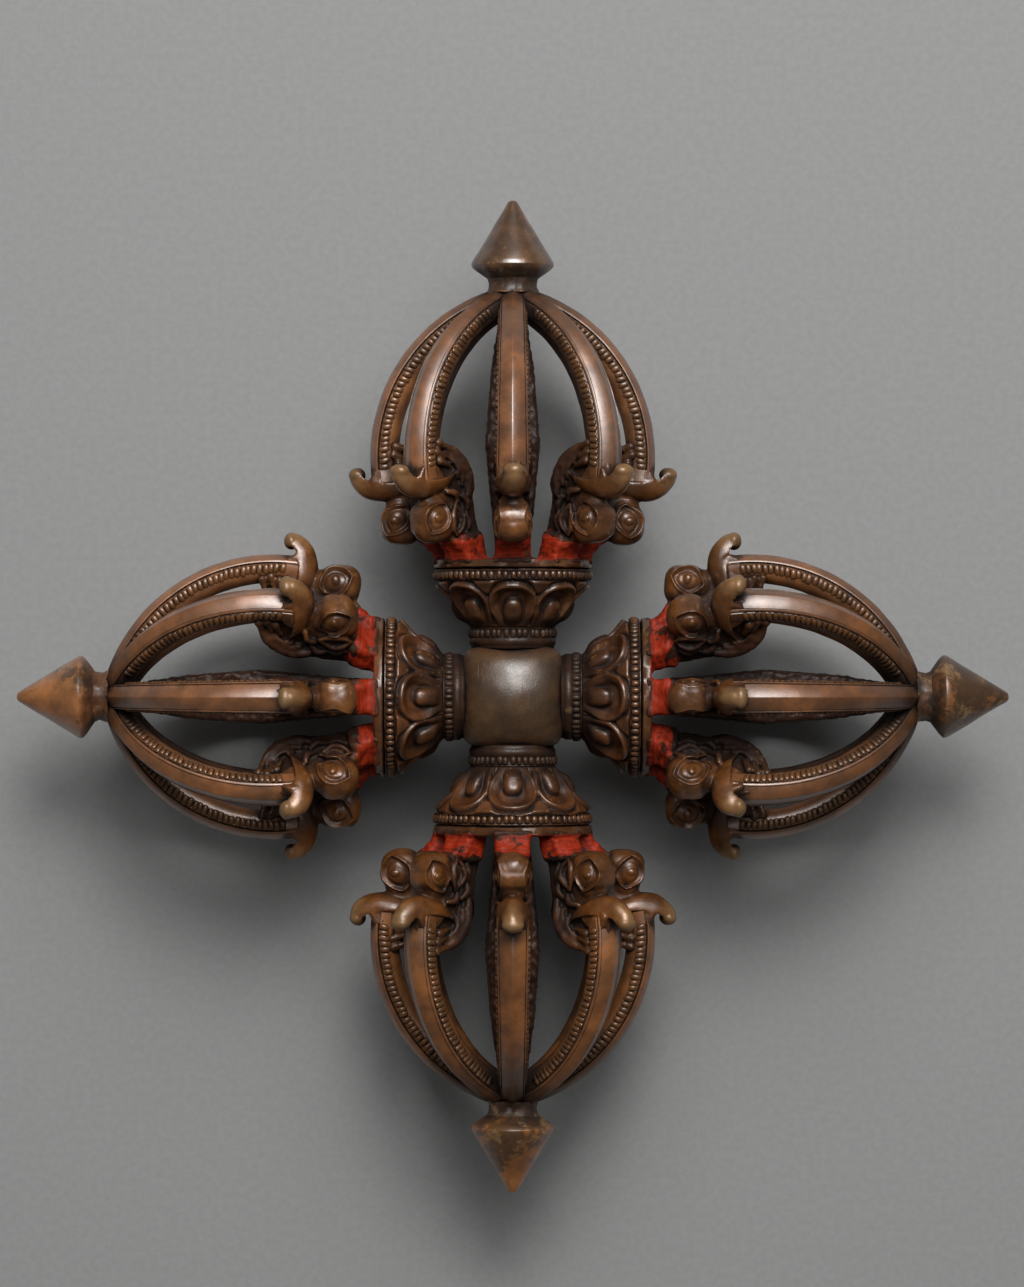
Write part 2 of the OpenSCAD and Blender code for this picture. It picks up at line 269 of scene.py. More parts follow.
def of_kind(geom, kind):
    """The vertices, edges or faces among what an operator gives back."""
    return [part for part in geom if isinstance(part, kind)]


def cut_off(bm, point, outward):
    """Cuts away what lies beyond a plane, and closes the cut."""
    cut = bmesh.ops.bisect_plane(bm, geom=bm.verts[:] + bm.edges[:] + bm.faces[:], plane_co=point,
                                 plane_no=outward, clear_outer=True, dist=1e-5)
    bmesh.ops.holes_fill(bm, edges=of_kind(cut["geom_cut"], bmesh.types.BMEdge), sides=0)


def round_edges(bm, offset, segments=2):
    """Takes off every edge of a mesh."""
    bmesh.ops.bevel(bm, geom=bm.edges, offset=offset, segments=segments, profile=0.5, affect="EDGES",
                    material=-1)


def slab(bm, outline, half_width, round_by):
    """Adds a rounded slab whose side view, x along the arm and z from its axis, is the outline."""
    block = bmesh.new()
    face = block.faces.new([block.verts.new((x, -half_width, z)) for x, z in outline])
    made = bmesh.ops.extrude_face_region(block, geom=[face])
    bmesh.ops.translate(block, verts=of_kind(made["geom"], bmesh.types.BMVert), vec=(0, 2 * half_width, 0))
    bmesh.ops.recalc_face_normals(block, faces=block.faces)
    round_edges(block, round_by)
    join(bm, block)


def drawn_along(bm, outline, places):
    """Adds a closed shape drawn through places, each a matrix that lays the outline's y and z."""
    block = bmesh.new()
    end = block.faces.new([block.verts.new(places[0] @ Vector((0, y, z))) for y, z in outline])
    for before, place in zip(places, places[1:]):
        made = bmesh.ops.extrude_face_region(block, geom=[end])
        onward = place @ before.inverted()
        for vert in of_kind(made["geom"], bmesh.types.BMVert):
            vert.co = onward @ vert.co
        block.faces.remove(end)
        end = of_kind(made["geom"], bmesh.types.BMFace)[0]
    bmesh.ops.holes_fill(block, edges=[e for e in block.edges if e.is_boundary], sides=0)
    bmesh.ops.recalc_face_normals(block, faces=block.faces)
    join(bm, block)


def join(bm, block):
    """Adds a finished shape to a mesh."""
    mesh = small_mesh("block", block)
    bm.from_mesh(mesh)
    bpy.data.meshes.remove(mesh)


def turned(bm, profile, steps):
    """Adds a turned shape about the X axis from x, radius points; the ends on the axis are closed."""
    ring = [bm.verts.new((x, 0, r)) for x, r in profile]
    edges = [bm.edges.new(pair) for pair in zip(ring, ring[1:])]
    bmesh.ops.spin(bm, geom=ring + edges, cent=(0, 0, 0), axis=(1, 0, 0), angle=math.radians(360),
                   steps=steps, use_merge=True)
    bmesh.ops.remove_doubles(bm, verts=bm.verts, dist=1e-4)
    bmesh.ops.recalc_face_normals(bm, faces=bm.faces)


def through_modifier(bm, kind, **settings):
    """The mesh as a modifier leaves it."""
    mesh = small_mesh("rough", bm)
    holder = bpy.data.objects.new("rough", mesh)
    bpy.context.scene.collection.objects.link(holder)
    modifier = holder.modifiers.new("work", kind)
    for key, value in settings.items():
        setattr(modifier, key, value)
    made = bmesh.new()
    made.from_mesh(holder.evaluated_get(bpy.context.evaluated_depsgraph_get()).to_mesh())
    bpy.data.objects.remove(holder)
    bpy.data.meshes.remove(mesh)
    return made


def soften(bm, factor, times=1):
    """Smooths a mesh so many times."""
    for _ in range(times):
        bmesh.ops.smooth_vert(bm, verts=bm.verts, factor=factor, use_axis_x=True, use_axis_y=True,
                              use_axis_z=True)


def fused(bm, grain):
    """The shapes in a mesh run together as one cast surface, softened as wax would be."""
    cast = through_modifier(bm, "REMESH", mode="VOXEL", voxel_size=grain)
    soften(cast, 0.5)
    return cast


def step_up(value, low, high):
    """A smooth step from 0 at low to 1 at high."""
    share = max(0.0, min(1.0, (value - low) / (high - low)))
    return share * share * (3 - 2 * share)


def hand_worked(bm, depth, span, seed, share=None):
    """Moves every point a little in or out, so that a surface looks worked by hand, where share says."""
    drift = Vector((seed * 7.31, seed * 3.17, seed * 5.77))
    bm.normal_update()
    for vert in bm.verts:
        worked = share(vert.co) if share else 1.0
        vert.co += vert.normal * depth * worked * noise.noise(vert.co / span + drift)


def add_on_arm(arm, own, node, bm, slot, finish):
    """Makes a finished piece of what is drawn, in an arm's place and for that arm's node."""
    name = "_" + ARMS[arm]
    add_piece(own + name, small_mesh(own + name, bm), on_arm(arm), [node + name], slot, finish_named(finish))


def add_piece(name, mesh, place, nodes, slot, *materials):
    """Makes a finished piece of a mesh in millimetres: placed, shaded, riding and replacing."""
    mesh.transform(place)
    for material in materials:
        mesh.materials.append(material)
    mesh.polygons.foreach_set("use_smooth", [True] * len(mesh.polygons))
    piece = bpy.data.objects.new(name, mesh)
    bpy.context.scene.collection.objects.link(piece)
    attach(piece, "root")
    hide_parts(*nodes)


def sharpen(bm, degrees):
    """Keeps edges that turn more than so many degrees crisp."""
    bm.normal_update()
    for edge in bm.edges:
        edge.smooth = edge.calc_face_angle(0.0) < math.radians(degrees)


def stamp(bm, mesh, place):
    """Adds a copy of a small mesh in its place."""
    mesh.transform(place)
    bm.from_mesh(mesh)
    mesh.transform(place.inverted())


def small_mesh(name, bm):
    """Makes a mesh of what is drawn, and frees the drawing."""
    mesh = bpy.data.meshes.new(name)
    bm.to_mesh(mesh)
    bm.free()
    return mesh


def rib_shape():
    """A rib: a block of unit half sizes with its edges taken off."""
    bm = bmesh.new()
    bmesh.ops.create_cube(bm, size=2)
    round_edges(bm, 0.42, 1)
    for face in bm.faces:
        face.material_index = RIB_FINISH
    return small_mesh("rib", bm)


def bead_shape():
    """A bead of unit radius, cut off flat below where the ring hides it."""
    bm = bmesh.new()
    bmesh.ops.create_uvsphere(bm, u_segments=10, v_segments=6, radius=1)
    cut_off(bm, (0, 0, -0.25), (0, 0, -1))
    for vert in bm.verts:
        vert.co.x = math.copysign(abs(vert.co.x) ** 0.7, vert.co.x)
    return small_mesh("bead", bm)


# Materials


class Nodes:
    """A short way to lay and link the nodes of one material."""

    def __init__(self, name):
        self.material = bpy.data.materials.new(name)
        self.material.use_nodes = True
        self.tree = self.material.node_tree
        self.shader = self.tree.nodes["Principled BSDF"]

    def add(self, kind, settings=(), **inputs):
        node = self.tree.nodes.new("ShaderNode" + kind)
        for key, value in dict(settings).items():
            setattr(node, key, value)
        for key, value in inputs.items():
            self.put(value, node.inputs[key.replace("_", " ")])
        return node

    def put(self, value, socket):
        if isinstance(value, bpy.types.NodeSocket):
            self.tree.links.new(value, socket)
        else:
            socket.default_value = value

    def math(self, operation, a, b=0.0, c=0.0):
        node = self.tree.nodes.new("ShaderNodeMath")
        node.operation = operation
        for value, socket in zip((a, b, c), node.inputs):
            self.put(value, socket)
        return node.outputs[0]

    def times(self, a, b):
        return self.math("MULTIPLY", a, b)

    def ramp(self, value, low, high, to_low=0.0, to_high=1.0):
        node = self.tree.nodes.new("ShaderNodeMapRange")
        node.interpolation_type = "SMOOTHSTEP"
        for given, socket in zip((value, low, high, to_low, to_high), node.inputs):
            self.put(given, socket)
        return node.outputs[0]

    def mix(self, share, a, b, blend="MIX"):
        node = self.tree.nodes.new("ShaderNodeMix")
        node.data_type = "RGBA"
        node.blend_type = blend
        self.put(share, node.inputs[0])
        self.put(a, node.inputs[6])
        self.put(b, node.inputs[7])
        return node.outputs[2]

    def noise(self, coordinates, scale, detail=4.0, roughness=0.55):
        node = self.add("TexNoise", Scale=scale, Detail=detail, Roughness=roughness)
        self.tree.links.new(coordinates, node.inputs["Vector"])
        return node.outputs["Fac"]


def colour(value):
    """A user's colour as a socket takes it."""
    return (value[0], value[1], value[2], 1.0)


def place_on_arm(n, place):
    """How far east and north a point is, out along its arm and from that arm's axis, in metres."""
    eastward, northward, upward = n.add("SeparateXYZ", Vector=place).outputs
    side_x = n.math("ABSOLUTE", eastward)
    side_y = n.math("ABSOLUTE", northward)
    height = n.math("SUBTRACT", upward, LIFT / MM)
    across = n.math("MINIMUM", side_x, side_y)
    radius = n.math("SQRT", n.math("MULTIPLY_ADD", across, across, n.times(height, height)))
    return eastward, northward, n.math("MAXIMUM", side_x, side_y), radius


def tinted(n, base, amount):
    """A colour made lighter or darker by an amount that varies over the surface."""
    grey = n.add("CombineColor", Red=amount, Green=amount, Blue=amount).outputs[0]
    return n.mix(1.0, base, grey, "MULTIPLY")


def bronze(name, main, polish, patch, patch_share, handled_from=None, sheen=0.85, spread=0.24, edge_rub=0.2,
           gleam=0.22, grime_and_shade=None, pigmented=False, scuffed=0.0, stained=False, scratched=False, dulled=0.0,
           lustre=1.6):
    """Cast bronze: matte patina, polish where hands reach, hollows and creases darkened as part real soiling
    and part painted shade, rubbed edges and pigment.
    """
    n = Nodes(name)
    tones = finishes()
    place = n.add("TexCoord").outputs["Object"]
    eastward, northward, out, radius = place_on_arm(n, place)
    broad = n.noise(place, 38.0, 3.0)
    stain = n.math("MULTIPLY_ADD", eastward, -1.5, n.noise(place, 125.0, 4.0, 0.6))
    mottle = n.noise(place, 340.0, 6.0, 0.62)
    grit = n.noise(place, 2400.0, 4.0, 0.6)
    hollow = n.add("AmbientOcclusion", {"samples": 8}, Distance=0.009).outputs["AO"]
    edge = n.add("NewGeometry").outputs["Pointiness"]
    uneven = n.math("SUBTRACT", mottle, 0.5)

    def frayed(value, amount):
        """A value that wanders a little, so that what it bounds has a ragged edge."""
        return n.math("MULTIPLY_ADD", uneven, amount, value)

    # Where hands reach
    proud = n.ramp(frayed(edge, 0.05), 0.47, 0.51, 0.3, 1.0)
    handled = n.times(n.ramp(frayed(hollow, 0.3), 0.5, 0.92), proud)
    if handled_from:
        outer = n.ramp(frayed(radius, 0.006), handled_from / MM, (handled_from + 4) / MM)
        handled = n.times(handled, outer)

    # Colour of the metal with its patches and stains. The south and east arms are tinted warmer and given
    # less coat: painted shade on the south arm, which faces away from the light, and a duller patina on the
    # east arm
    body = n.mix(n.ramp(broad, 0.6 - patch_share, 0.74 - patch_share), colour(main), colour(patch))
    body = n.mix(handled, body, colour(polish))
    if stained:
        lean = n.math("ADD", eastward, n.math("ABSOLUTE", northward))
        blotch = n.math("MULTIPLY_ADD", lean, 0.85, n.noise(place, 88.0, 9.0, 0.7))
        body = n.mix(n.ramp(blotch, 0.51, 0.55, 0.0, 0.85), body, colour(tones.olive))
    if scratched:
        coppery = n.ramp(frayed(out, 0.004), HUB_HALF * 0.8 / MM, HUB_HALF / MM, 0.0, 0.4)
        body = n.mix(coppery, body, colour(tones.copper))
    body = tinted(n, body, n.ramp(mottle, 0.3, 0.72, 0.7, 1.28))
    body = tinted(n, body, n.ramp(stain, 0.36, 0.68, 0.72, 1.38))
    # Painted shade on the south arm and a duller patina on the east: a warmer tint here, a thinner coat
    # further down
    south_shade_east_tone = n.math("MAXIMUM", n.ramp(northward, 0.02, -0.06), n.ramp(eastward, 0.02, 0.06, 0.0, 0.8))
    warmer = n.mix(1.0, body, (0.95, 0.88, 0.6, 1.0), "MULTIPLY")
    body = n.mix(n.times(south_shade_east_tone, 0.7), body, warmer)

    # Hollows and creases painted darker with a sooty tone, part real soiling and part painted shade, and a
    # band painted darker towards one end
    # Concave creases are painted dark too, part soiling and part painted shade
    crease_dirt_and_shade = n.ramp(frayed(edge, 0.06), 0.484, 0.435, 0.0, 0.6)
    dirt_and_shade = n.math("MAXIMUM", n.ramp(frayed(hollow, 0.4), 0.9, 0.45, dulled, 0.95), crease_dirt_and_shade)
    # A band painted darker and less glossy towards one end of a piece; where and why is given with each
    # finish below
    if grime_and_shade:
        clear_at, darkest_at, depth = grime_and_shade
        banded_grime_and_shade = n.ramp(frayed(out, 0.004), clear_at / MM, darkest_at / MM, 0.0, depth)
        dirt_and_shade = n.math("MAXIMUM", dirt_and_shade, banded_grime_and_shade)
    # The sooty tone laid over hollows, creases and the band: real soiling together with painted shade
    body = n.mix(dirt_and_shade, body, colour(tones.soot_and_shade))

    # Wear on edges and noses
    nose = n.ramp(frayed(radius, 0.004), NOSE_WEAR_FROM / MM, NOSE_WEAR_FULL / MM, 0.0, 0.42)
    rubbed = n.ramp(frayed(edge, 0.1), 0.54, 0.66, 0.0, edge_rub)
    rubbed = n.times(n.math("MAXIMUM", rubbed, nose), n.ramp(hollow, 0.45, 0.85))
    if scuffed:
        scuff = n.ramp(n.noise(place, 140.0, 9.0, 0.78), 0.55, 0.61, 0.0, scuffed)
        rubbed = n.math("MAXIMUM", rubbed, scuff)
    body = n.mix(rubbed, body, colour(tones.worn))

    # Shine and fine relief
    polished = n.times(n.math("MAXIMUM", handled, rubbed), n.math("SUBTRACT", 1.0, dirt_and_shade))
    gloss = n.math("MULTIPLY_ADD", polished, -0.18, n.ramp(grit, 0.3, 0.75, 0.52, 0.66))
    gloss = n.math("ADD", gloss, n.ramp(stain, 0.35, 0.65, 0.06, -0.06))
    metal = n.math("MULTIPLY_ADD", polished, 0.14, n.times(rubbed, 0.35))
    coat = n.times(n.times(polished, sheen), n.math("MULTIPLY_ADD", south_shade_east_tone, -0.45, 1.0))
    relief = n.math("MULTIPLY_ADD", grit, 0.35, n.times(mottle, 0.65))
    if scratched:
        drawn = n.add("Mapping", Vector=place, Scale=(2600.0, 160.0, 160.0)).outputs[0]
        lines = n.ramp(n.noise(drawn, 1.0, 2.0), 0.66, 0.72)
        relief = n.math("MULTIPLY_ADD", lines, -0.4, relief)
    if pigmented:
        paint = pigment_mask(n, place, out, radius, hollow)
        laid = n.add("CombineXYZ", X=frayed(n.times(out, 1600.0), 2.0), Y=n.times(radius, 700.0))
        strokes = n.noise(laid.outputs[0], 1.0, 4.0, 0.6)
        red = tinted(n, colour(tones.pigment), n.ramp(strokes, 0.28, 0.68, 0.42, 1.2))
        body = n.mix(paint, body, red)
        metal = n.times(metal, n.math("SUBTRACT", 1.0, paint))
        coat = n.times(coat, n.math("MULTIPLY_ADD", paint, -0.6, 1.0))
        relief = n.math("MULTIPLY_ADD", paint, n.math("MULTIPLY_ADD", strokes, 1.2, 0.3), relief)
    coarse = n.math("MULTIPLY_ADD", polished, -0.75, 1.3)
    bump = n.add("Bump", Strength=0.3, Distance=0.0003, Height=n.times(relief, coarse)).outputs[0]
    looks = {"Base Color": body, "Roughness": gloss, "Metallic": metal, "Specular IOR Level": gleam,
             "Coat Weight": coat, "Coat Roughness": spread, "Coat IOR": lustre,
             "Normal": bump, "Coat Normal": bump}
    for socket, value in looks.items():
        n.put(value, n.shader.inputs[socket])
    return n.material


def pigment_mask(n, place, out, radius, hollow):
    """Where pigment is: brushed on the prong roots and the seat's edge, and left in the heads' hollows."""
    ragged = n.noise(place, 300.0, 3.0)
    brush_end = n.math("MULTIPLY_ADD", ragged, 5.0 / MM, (SEAT_END + 0.7) / MM)
    below = n.ramp(n.math("SUBTRACT", brush_end, out), 0.0, 0.0003)
    brush_start = n.math("MULTIPLY_ADD", ragged, 1.6 / MM, (SEAT_END - 1.1) / MM)
    above = n.ramp(n.math("SUBTRACT", out, brush_start), 0.0, 0.0003)
    inside = n.ramp(n.math("SUBTRACT", (SEAT_R + 2.2) / MM, radius), 0.0, 0.0005)
    brush = n.add("Mapping", Vector=place, Scale=(1.0, 1.0, 1.6)).outputs[0]
    patchy = n.ramp(n.noise(brush, 230.0, 6.0, 0.68), 0.38, 0.45)
    roots = n.times(n.times(below, above), n.times(inside, patchy))
    traces = n.times(n.ramp(n.noise(place, 260.0, 4.0), 0.6, 0.63), n.ramp(hollow, 0.75, 0.5))
    near = n.ramp(n.math("SUBTRACT", (SEAT_END + 5) / MM, out), 0.0, 0.001)
    head = n.times(near, n.ramp(n.math("SUBTRACT", out, SEAT_END / MM), 0.0, 0.0004))
    return n.math("MAXIMUM", roots, n.times(traces, n.times(head, inside)))


def finish_named(name):
    """The finish of that name, made once."""
    if name in bpy.data.materials:
        return bpy.data.materials[name]
    tones = finishes()
    # Painted shade: from the front of the crest on, the nose, teeth and jaw are painted darker and less
    # glossy, so the crest's front does not catch the light
    if name == "prong_bronze":
        return bronze(name, tones.patina, tones.handled, tones.copper, 0.04, handled_from=14.0,
                      grime_and_shade=(SEAT_END + 12.6, SEAT_END + 13.5, 0.5), pigmented=True, dulled=0.08)
    # The blades are painted darker and less glossy over their last 11 mm before the tip
    if name == "blade_bronze":
        return bronze(name, tones.petal, tones.blade, tones.copper, 0.04, sheen=1.0, spread=0.35,
                      edge_rub=0.06, gleam=0.4, grime_and_shade=(TIP_START - 11, TIP_START, 0.55), lustre=1.85)
    if name == "rib_bronze":
        return bronze(name, tones.patina, tones.petal, tones.copper, 0.0, sheen=0.7, edge_rub=0.12)
    # Painted shade: the cups are painted darker towards the neck, where they face away from the light under
    # the rim
    if name == "cup_bronze":
        return bronze(name, tones.patina, tones.petal, tones.copper, 0.0,
                      grime_and_shade=(NECK_END + 5.5, NECK_END, 0.8), pigmented=True)
    # Painted shade: the hub is painted darker towards its edges, where its dome rolls away from the light
    if name == "hub_bronze":
        return bronze(name, tones.olive, tones.olive, tones.patina, 0.0, sheen=0.55, spread=0.24, gleam=0.4,
                      grime_and_shade=(HUB_HALF - 1.8, HUB_HALF - 0.2, 0.55), scratched=True)
    if name == "core_bronze":
        return bronze(name, tones.patina, tones.patina, tones.copper, 0.0, sheen=0.15, gleam=0.2,
                      dulled=0.5)
    # Painted shade: the tips are painted darker from the shoulder down to the neck, under the shoulder
    return bronze(name, tones.blade, tones.tip, tones.copper, 0.1, sheen=1.0, gleam=0.5,
                  grime_and_shade=(TIP_SHOULDER, TIP_START + 1.8, 0.6), scuffed=0.4, stained=True, lustre=1.8)


# Pieces


def blade_arc():
    """Radius of a blade's back, its centre's x and z, and the angle it sweeps, from its two ends."""
    s = sizes()
    run = TIP_START - SEAT_END - s.head_length
    drop = s.blade_reach - s.blade_end_reach
    radius = (run * run + drop * drop) / (2 * drop)
    return radius, SEAT_END + s.head_length, s.blade_reach - radius, math.asin(run / radius)


def width_left(turn, sweep):
    """Share of a blade's width that is left so far along its arc."""
    return 1 - BLADE_TAPER * max(0.0, min(1.0, turn / sweep))


def blade_and_ribs(rng, rib):
    """A blade with a ridged back, lined edges and ribbed flanks, mitred where it meets the others."""
    s = sizes()
    radius, centre_x, centre_z, sweep = blade_arc()
    half = s.blade_width / 2
    lead = math.radians(BLADE_LEAD)
    hinge = Matrix.Translation((centre_x, 0, centre_z))
    section = [
        (0.0, 0.0), (0.14, -0.03), (half - 0.4, -0.82), (half - 0.28, -0.98), (half - 0.12, -0.86),
        (half, -0.95), (half + 0.05, -1.2), (half - 0.2, -1.4), (half + 0.1, -1.6), (half + 0.1, -3.1),
        (half - 0.4, -3.8), (half * 0.45, -s.blade_depth)]
    bm = bmesh.new()
    sides = section + [(-y, d) for y, d in reversed(section[1:])]
    spot = hinge @ Matrix.Rotation(-lead, 4, "Y")
    face = bm.faces.new([bm.verts.new(spot @ Vector((0, y, radius + d))) for y, d in sides])
    bmesh.ops.spin(bm, geom=[face], cent=(centre_x, 0, centre_z), axis=(0, 1, 0),
                   angle=sweep + lead + math.radians(BLADE_OVERRUN), steps=72)
    bmesh.ops.remove_doubles(bm, verts=bm.verts, dist=1e-4)
    bmesh.ops.recalc_face_normals(bm, faces=bm.faces)
    for vert in bm.verts:
        vert.co.y *= width_left(math.atan2(vert.co.x - centre_x, vert.co.z - centre_z), sweep)
    hand_worked(bm, 0.06, 2.5, rng.uniform(0, 9))
    for face in bm.faces:
        face.material_index = BLADE_FINISH
    pitch = (sweep - math.radians(RIBS_SHORT_BY)) / (s.ribs - 1)
    for side in (-1, 1):
        for i in range(s.ribs):
            turn = math.radians(RIBS_FROM) + pitch * (i + rng.uniform(-0.1, 0.1))
            flank = side * (half * width_left(turn, sweep) - RIB_SUNK)
            height = radius - RIB_BELOW_BACK + rng.uniform(-0.08, 0.08)
            lean = Matrix.Rotation(rng.uniform(-0.3, -0.06), 4, "Y")
            long = radius * pitch * rng.uniform(0.47, 0.52)
            thick = RIB_THICK * rng.uniform(0.85, 1.1)
            tall = RIB_TALL * rng.uniform(0.9, 1.1)
            stamp(bm, rib, hinge @ Matrix.Rotation(turn, 4, "Y") @ Matrix.Translation((0, flank, height))
                  @ lean @ Matrix.Diagonal((long, thick, tall, 1)))
    mitre = math.radians(180 / PRONGS - 0.4)
    cuts = [((0, 0, 0), (0, math.cos(mitre), -math.sin(mitre))),
            ((0, 0, 0), (0, -math.cos(mitre), -math.sin(mitre))),
            ((TIP_START - 0.05, 0, 0), (1, 0, 0)),
            ((0, 0, BLADE_LOWEST), (0, 0, -1))]
    for point, outward in cuts:
        cut_off(bm, point, outward)
    return bm


# A head is drawn from its seat: x along the arm, y across and z out from the arm's axis


def root_and_throat(bm, rng):
    """The blocky root and the narrow mass that the carving stands on."""
    slab(bm, [(-1.2, 9.2), (0, 8.0), (3, 8.7), (7, 9.8), (11.5, 10.6), (14.2, 12.2), (16.8, 14.6),
              (18.2, 17.2), (17.4, 20.6), (14.6, 21.6), (11, 20.4), (7, 17.6), (3.2, 15.6), (1.5, 13.2),
              (0, 12.4), (-1.2, 11.2)], 1.55, 0.5)
    lift = rng.uniform(-0.3, 0.3)
    slab(bm, [(-1.0, 8.3), (-1.0, 12.6), (0.6, 12.7 + lift), (2.0, 13.5), (4, 13.8), (4.4, 9.4),
              (1.4, 8.4)], 2.8, 0.7)
    slab(bm, [(-0.8, 8.0), (-0.8, 12.9), (0.3, 12.5), (0.3, 8.3)], 3.05 + lift * 0.3, 0.3)
    for side in (-1, 1):
        ball(bm, (2.6, side * 1.4, 12.9 + lift), (1.5, 1.5, 1.2))


def skull(bm):
    """The hood-like skull: a full dome behind, drawn in towards the snout."""
    ball(bm, (4.9, 0, 17.9), (2.6, 2.8, 3.3), 2.4)
    ball(bm, (6.3, 0, 18.3), (2.6, 2.8, 2.95), 2.4)
    ball(bm, (8.1, 0, 18.0), (2.2, 2.15, 2.6))


def trunk_and_nose(bm, lean):
    """The bill-like trunk, round behind and crested in front, that ends in a curled nose."""
    crest = smooth_path([(14.2, 14.4, 0.4, 2.0), (13.5, 15.4, 1.3, 2.4), (12.9, 17.0, 2.4, 2.8),
                         (12.5, 19.0, 3.0, 2.95), (12.4, 20.8, 3.15, 2.8), (12.5, 22.2, 3.1, 2.4),
                         (12.9, 23.3, 2.85, 2.05), (13.4, 24.0, 2.5, 1.8), (13.9, 24.3, 2.1, 1.65)], 4)
    places = []
    for i, (x, z, thick, wide) in enumerate(crest):
        before, after = crest[max(i - 1, 0)], crest[min(i + 1, len(crest) - 1)]
        onward = Vector((after[0] - before[0], 0, after[1] - before[1])).normalized()
        behind = Vector((-onward.z, 0, onward.x))
        axes = Matrix((onward, (0, wide, 0), behind * thick)).transposed().to_4x4()
        places.append(Matrix.Translation((x, lean * step_up(z, 20, 24), z)) @ axes)
    bill = [(math.cos(turn), math.sin(turn)) for turn in [math.pi * step / 12 for step in range(13)]]
    drawn_along(bm, bill + [(-0.7, 0.2), (-0.3, 0.32), (0.3, 0.32), (0.7, 0.2)], places)
    ball(bm, (13.5, lean, 25.0), (1.2, 1.75, 1.4))
    slab(bm, [(11.4, 14), (11.4, 22.4), (13, 22.8), (15.4, 22.4), (17, 22.2), (17, 14)], 1.3, 0.3)
    slab(bm, [(11.6, 17.0), (11.6, 22.4), (12.5, 23.1), (13.3, 22.7), (14.2, 22.3), (14.7, 21.6),
              (14.4, 18.9), (13.2, 17.8)], 2.42, 0.4)


def mouth_and_jaw(bm, rng):
    """The jaw's folds round the corner of the mouth, and the teeth between them and the blade."""
    corner = Vector((14.6, 0, 16.0))
    rim = [(10.2, 1.8, 12.0, 0.6), (12.6, 2.1, 12.2, 0.85), (14.9, 2.1, 13.2, 0.9), (16.7, 1.9, 15.0, 0.8),
           (17.8, 1.6, 17.2, 0.5)]
    for share, width in ((1.0, 1.0), (0.68, 0.62), (0.42, 0.5)):
        fold = [(corner.x + (x - corner.x) * share, y + 0.15, corner.z + (z - corner.z) * share, r * width)
                for x, y, z, r in rim]
        for line in both_sides(fold):
            roll(bm, line)
    for x, z in ((15.3, 18.0), (16.7, 18.7), (18.1, 18.5)):
        shift = rng.uniform(-0.2, 0.2)
        for line in both_sides([(x - 0.7, 1.9, z - 1.8, 0.42), (x, 2.1, z + 0.5 + shift, 0.74)]):
            roll(bm, line, 4)


def cheeks(bm, rng):
    """The rimmed ear under the eye, and the small locks below and behind it."""
    drop = rng.uniform(-0.15, 0.15)
    ball(bm, (6.2, 0, 14.7), (2.9, 2.4, 1.9))
    for rise in (1.1, -1.2):
        for line in both_sides([(3.6, 2.2, 14.7, 0.3), (5.0, 2.55, 14.7 + rise * 0.85 + drop, 0.45),
                                (6.6, 2.6, 14.7 + rise + drop, 0.46), (8.5, 2.2, 15.1, 0.34)]):
            roll(bm, line)
    for points in ([(4.4, 1.9, 12.4, 0.4), (5.6, 2.2, 12.1, 0.6), (6.9, 2.1, 12.5, 0.4)],
                   [(7.4, 1.9, 12.3, 0.4), (8.8, 2.2, 12.5, 0.6), (9.8, 2.1, 13.6, 0.4)],
                   [(9.2, 2.0, 14.4, 0.4), (10.4, 2.3, 15.2, 0.6), (10.6, 2.1, 16.8, 0.4)]):
        shift = rng.uniform(-0.25, 0.25)
        for line in both_sides([(x + shift, y, z, r) for x, y, z, r in points]):
            roll(bm, line, 4)


def almond(along, across):
    """How far a point lies from the middle of an eye, in parts of its pointed outline."""
    return abs(along) ** 2.0 + abs(across) ** 1.15


def eye_places(rng):
    """Middle, outward axis, length and width axes, half length and half width of the two eyes."""
    eyes = []
    for side in (-1, 1):
        axis = Vector((0, side * 0.84, 0.54)).normalized()
        centre = Vector((6.2 + rng.uniform(-0.25, 0.25), side * 2.6, 18.9 + rng.uniform(-0.2, 0.2)))
        tilt = Matrix.Rotation(side * math.radians(18 + rng.uniform(-12, 12)), 3, axis)
        length = tilt @ Vector((1, 0, 0))
        eyes.append((centre, axis, length, axis.cross(length), EYE_HALF_LONG * rng.uniform(0.93, 1.06),
                     EYE_HALF_WIDE * rng.uniform(0.92, 1.06)))
    return eyes


